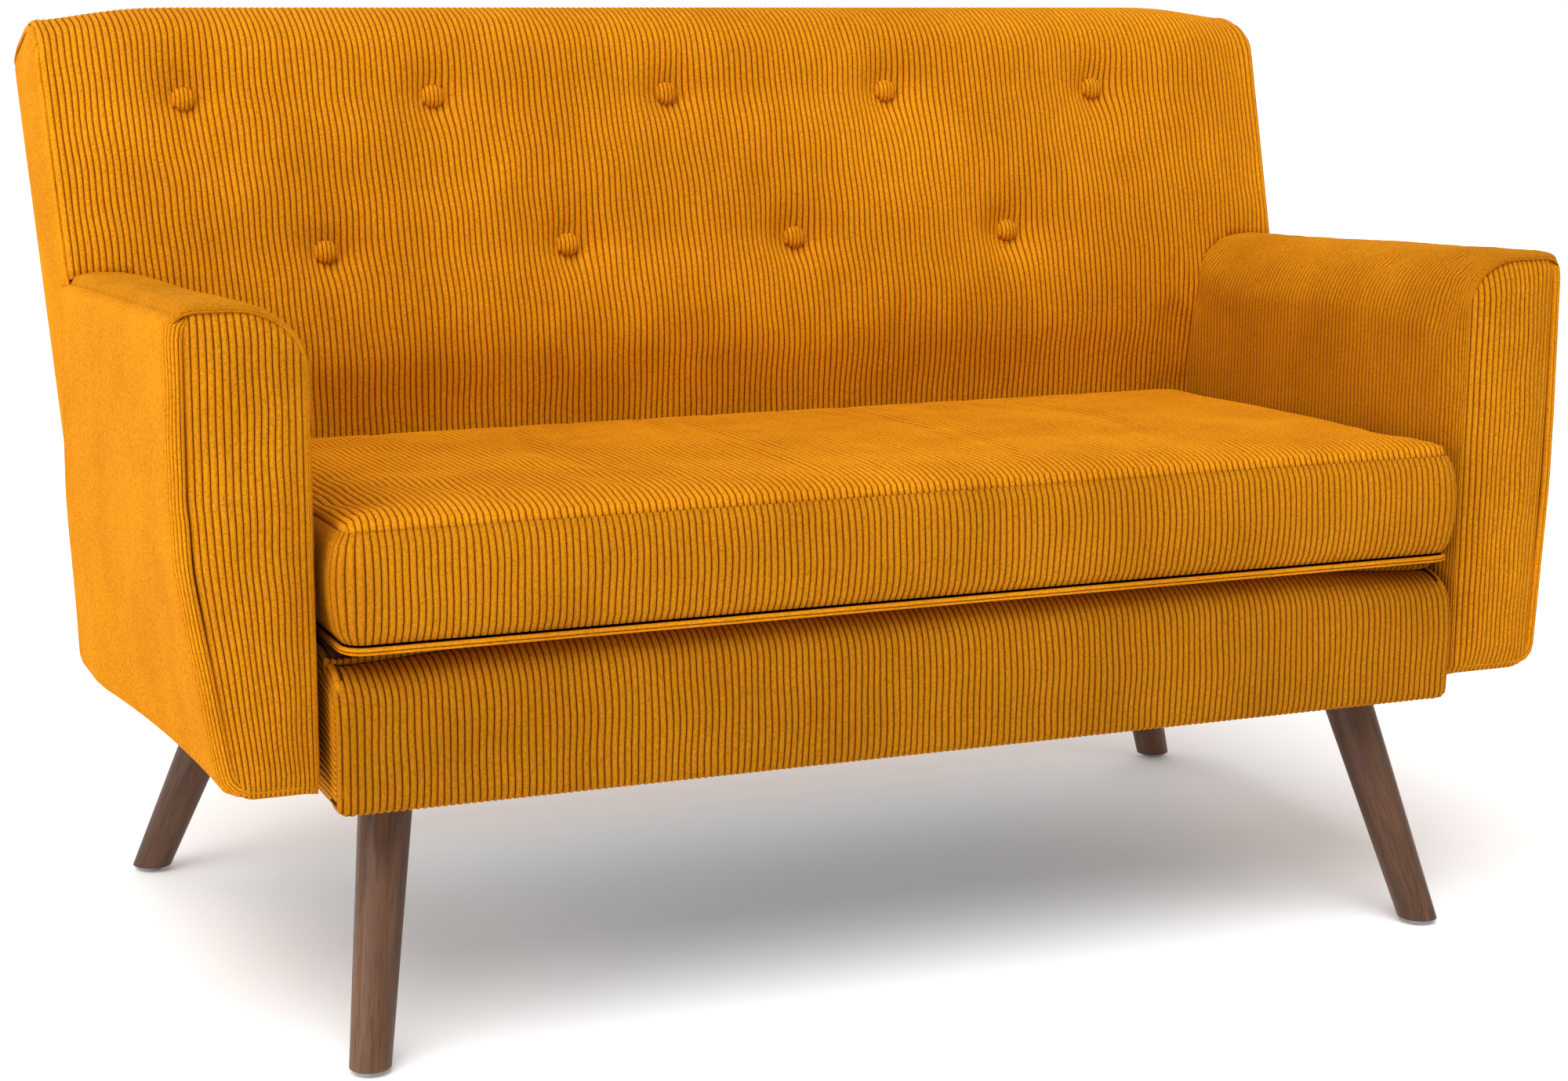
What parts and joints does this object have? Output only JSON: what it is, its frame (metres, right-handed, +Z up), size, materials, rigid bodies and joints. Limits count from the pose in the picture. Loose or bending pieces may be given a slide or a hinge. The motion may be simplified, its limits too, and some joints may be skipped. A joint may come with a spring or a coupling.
{
  "type": "loveseat sofa",
  "caption": "Compact loveseat in wide-wale corduroy with a buttoned leaning back, padded arms, a loose bench cushion and splayed round wooden legs.",
  "frame": {"origin": "on the floor, under the middle of the sofa's box", "axes": "+X across the sofa, to the right as seen from the front; -Y is the front; +Z up"},
  "size_m": [1.302, 0.7438, 0.8363],
  "materials": {
    "corduroy": "wide-wale cotton corduroy, amber",
    "walnut": "satin lacquer, walnut stain",
    "glide_plastic": "matte grey",
    "zinc_steel": "zinc plated",
    "black_steel": "black powder coat",
    "clip_steel": "zinc plated",
    "deck_cloth": "plain woven deck cloth",
    "dust_cloth": "black spunbond",
    "webbing": "elastic webbing",
    "tie_nylon": "nylon",
    "hardboard": "raw hardboard",
    "foam": "polyurethane foam and wadding",
    "frame_timber": "raw sawn pine"
  },
  "bodies": {
    "sofa": {"arm_left_bottom_rail": "frame_timber", "arm_left_front_panel": "corduroy", "arm_left_inner_board": "hardboard", "arm_left_inner_panel": "corduroy", "arm_left_outer_board": "hardboard", "arm_left_outer_panel": "corduroy", "arm_left_padding": "foam", "arm_left_posts": "frame_timber", "arm_left_top_rail": "frame_timber", "arm_right_bottom_rail": "frame_timber", "arm_right_front_panel": "corduroy", "arm_right_inner_board": "hardboard", "arm_right_inner_panel": "corduroy", "arm_right_outer_board": "hardboard", "arm_right_outer_panel": "corduroy", "arm_right_padding": "foam", "arm_right_posts": "frame_timber", "arm_right_top_rail": "frame_timber", "back_bottom_rail": "frame_timber", "back_buttons": "corduroy", "back_front_panel": "corduroy", "back_left_post": "frame_timber", "back_left_side_panel": "corduroy", "back_left_wing_frame": "frame_timber", "back_padding": "foam", "back_rear_panel": "corduroy", "back_right_post": "frame_timber", "back_right_side_panel": "corduroy", "back_right_wing_frame": "frame_timber", "back_top_rail": "frame_timber", "back_webbing": "webbing", "base_centre_rail": "frame_timber", "base_front_cover": "corduroy", "base_front_padding": "foam", "base_front_rail": "frame_timber", "base_left_cover": "corduroy", "base_rear_cover": "corduroy", "base_rear_rail": "frame_timber", "base_right_cover": "corduroy", "base_side_rails": "frame_timber", "button_ties": "tie_nylon", "deck_cloth": "deck_cloth", "deck_pad": "foam", "dust_cover": "dust_cloth", "frame_bolts": "zinc_steel", "leg_blocks": "frame_timber", "leg_front_left": "walnut", "leg_front_right": "walnut", "leg_glides": "glide_plastic", "leg_hanger_bolts": "zinc_steel", "leg_plate_screws": "zinc_steel", "leg_plates": "black_steel", "leg_rear_left": "walnut", "leg_rear_right": "walnut", "seat_springs": "zinc_steel", "spring_clips": "clip_steel"},
    "seat_cushion": {"seat_cushion_bottom_panel": "corduroy", "seat_cushion_boxing": "corduroy", "seat_cushion_foam": "foam", "seat_cushion_top_panel": "corduroy"}
  },
  "joints": [
    {"name": "cushion_lift", "type": "slide", "parent": "sofa", "child": "seat_cushion", "axis": [0, 0, 1], "range_m": [0, 0.32]}
  ]
}
